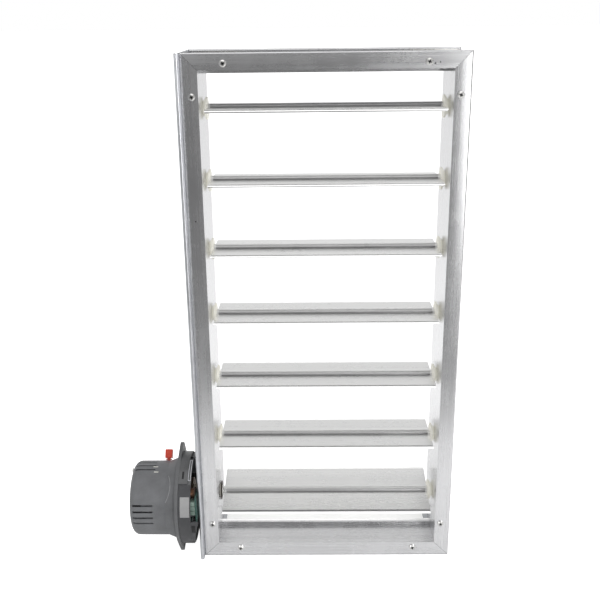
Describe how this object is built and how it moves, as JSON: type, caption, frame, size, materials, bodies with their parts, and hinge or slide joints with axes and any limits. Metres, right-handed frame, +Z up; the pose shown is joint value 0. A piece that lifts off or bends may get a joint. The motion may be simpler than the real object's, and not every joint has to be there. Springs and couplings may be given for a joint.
{
  "type": "motorized duct damper",
  "caption": "Rectangular in-duct air damper: an aluminium frame with linked parallel blades and a round geared actuator on the lowest blade's shaft.",
  "frame": {"origin": "middle of the front flange's bottom edge, on the frame's underside", "axes": "+X along the blades to the side away from the actuator, +Y along the air path from the front flange to the rear one, +Z up"},
  "size_m": [0.3961, 0.115, 0.61],
  "materials": {
    "frame_aluminium": "satin extruded",
    "blade_aluminium": "satin extruded",
    "sheet_steel": "galvanised",
    "plated_steel": "zinc plated",
    "white_vinyl": "matte",
    "ivory_plastic": "matte",
    "dark_plastic": "fine grained",
    "red_plastic": "satin",
    "gear_plastic": "matte",
    "brass": "machined",
    "motor_can": "satin",
    "spring_steel": "oiled",
    "circuit_board": "satin",
    "terminal_plastic": "matte"
  },
  "bodies": {
    "frame": {"frame_top": "frame_aluminium", "frame_bottom": "frame_aluminium", "frame_left": "frame_aluminium", "frame_right": "frame_aluminium", "side_plate": "sheet_steel", "side_hem": "sheet_steel", "corner_brackets": "plated_steel", "frame_screws": "plated_steel", "top_stop": "frame_aluminium", "bottom_stop": "frame_aluminium", "sill_seal": "white_vinyl", "bushings": "ivory_plastic", "actuator_base": "dark_plastic", "actuator_cover": "dark_plastic", "cover_screws": "plated_steel", "actuator_bracket": "sheet_steel", "motor": "motor_can", "return_spring": "spring_steel", "circuit_board": "circuit_board", "terminal_block": "terminal_plastic"},
    "blade_1": {"blade_1": "blade_aluminium", "end_caps_1": "ivory_plastic", "seals_1": "white_vinyl", "shafts_1": "plated_steel", "crank_1": "plated_steel"},
    "blade_2": {"blade_2": "blade_aluminium", "end_caps_2": "ivory_plastic", "seals_2": "white_vinyl", "shafts_2": "plated_steel", "crank_2": "plated_steel"},
    "blade_3": {"blade_3": "blade_aluminium", "end_caps_3": "ivory_plastic", "seals_3": "white_vinyl", "shafts_3": "plated_steel", "crank_3": "plated_steel"},
    "blade_4": {"blade_4": "blade_aluminium", "end_caps_4": "ivory_plastic", "seals_4": "white_vinyl", "shafts_4": "plated_steel", "crank_4": "plated_steel"},
    "blade_5": {"blade_5": "blade_aluminium", "end_caps_5": "ivory_plastic", "seals_5": "white_vinyl", "shafts_5": "plated_steel", "crank_5": "plated_steel"},
    "blade_6": {"blade_6": "blade_aluminium", "end_caps_6": "ivory_plastic", "seals_6": "white_vinyl", "shafts_6": "plated_steel", "crank_6": "plated_steel"},
    "drive_blade": {"blade_7": "blade_aluminium", "end_caps_7": "ivory_plastic", "seals_7": "white_vinyl", "drive_shaft": "plated_steel", "drive_crank": "plated_steel", "drive_gear": "gear_plastic"},
    "link": {"link_bar": "plated_steel"},
    "idler": {"idler_gear": "gear_plastic"},
    "pinion": {"motor_pinion": "brass"},
    "lever": {"release_lever": "red_plastic"}
  },
  "joints": [
    {"name": "drive_blade_turn", "type": "hinge", "parent": "frame", "child": "drive_blade", "pos_m": [0, 0.042, 0.0685], "axis": [1, 0, 0], "range_deg": [0, 75]},
    {"name": "blade_1_turn", "type": "hinge", "parent": "frame", "child": "blade_1", "pos_m": [0, 0.042, 0.5491], "axis": [1, 0, 0], "range_deg": [0, 90]},
    {"name": "blade_2_turn", "type": "hinge", "parent": "frame", "child": "blade_2", "pos_m": [0, 0.042, 0.469], "axis": [1, 0, 0], "range_deg": [0, 90]},
    {"name": "blade_3_turn", "type": "hinge", "parent": "frame", "child": "blade_3", "pos_m": [0, 0.042, 0.3889], "axis": [1, 0, 0], "range_deg": [0, 90]},
    {"name": "blade_4_turn", "type": "hinge", "parent": "frame", "child": "blade_4", "pos_m": [0, 0.042, 0.3088], "axis": [1, 0, 0], "range_deg": [0, 90]},
    {"name": "blade_5_turn", "type": "hinge", "parent": "frame", "child": "blade_5", "pos_m": [0, 0.042, 0.2287], "axis": [1, 0, 0], "range_deg": [0, 90]},
    {"name": "blade_6_turn", "type": "hinge", "parent": "frame", "child": "blade_6", "pos_m": [0, 0.042, 0.1486], "axis": [1, 0, 0], "range_deg": [0, 90]},
    {"name": "link_turn", "type": "hinge", "parent": "blade_6", "child": "link", "pos_m": [0.1434, 0.05331, 0.13729], "axis": [1, 0, 0], "range_deg": [-90, 0]},
    {"name": "idler_turn", "type": "hinge", "parent": "frame", "child": "idler", "pos_m": [-0.19, 0.00817, 0.05619], "axis": [1, 0, 0], "range_deg": [-375, 0]},
    {"name": "pinion_turn", "type": "hinge", "parent": "frame", "child": "pinion", "pos_m": [-0.193, 0.01817, 0.07351], "axis": [1, 0, 0], "range_deg": [0, 562.5]},
    {"name": "release_lever_turn", "type": "hinge", "parent": "frame", "child": "lever", "pos_m": [-0.2015, 0.031, 0.065], "axis": [-1, 0, 0], "range_deg": [0, 35], "stiffness_Nm_per_rad": 0.05}
  ],
  "couplings": [
    {"joint": "blade_1_turn", "follows": "drive_blade_turn", "ratio": 1.2},
    {"joint": "blade_2_turn", "follows": "drive_blade_turn", "ratio": 1.2},
    {"joint": "blade_3_turn", "follows": "drive_blade_turn", "ratio": 1.2},
    {"joint": "blade_4_turn", "follows": "drive_blade_turn", "ratio": 1.2},
    {"joint": "blade_5_turn", "follows": "drive_blade_turn", "ratio": 1.2},
    {"joint": "blade_6_turn", "follows": "drive_blade_turn", "ratio": 1.2},
    {"joint": "link_turn", "follows": "drive_blade_turn", "ratio": -1.2},
    {"joint": "idler_turn", "follows": "drive_blade_turn", "ratio": -5},
    {"joint": "pinion_turn", "follows": "drive_blade_turn", "ratio": 7.5}
  ]
}
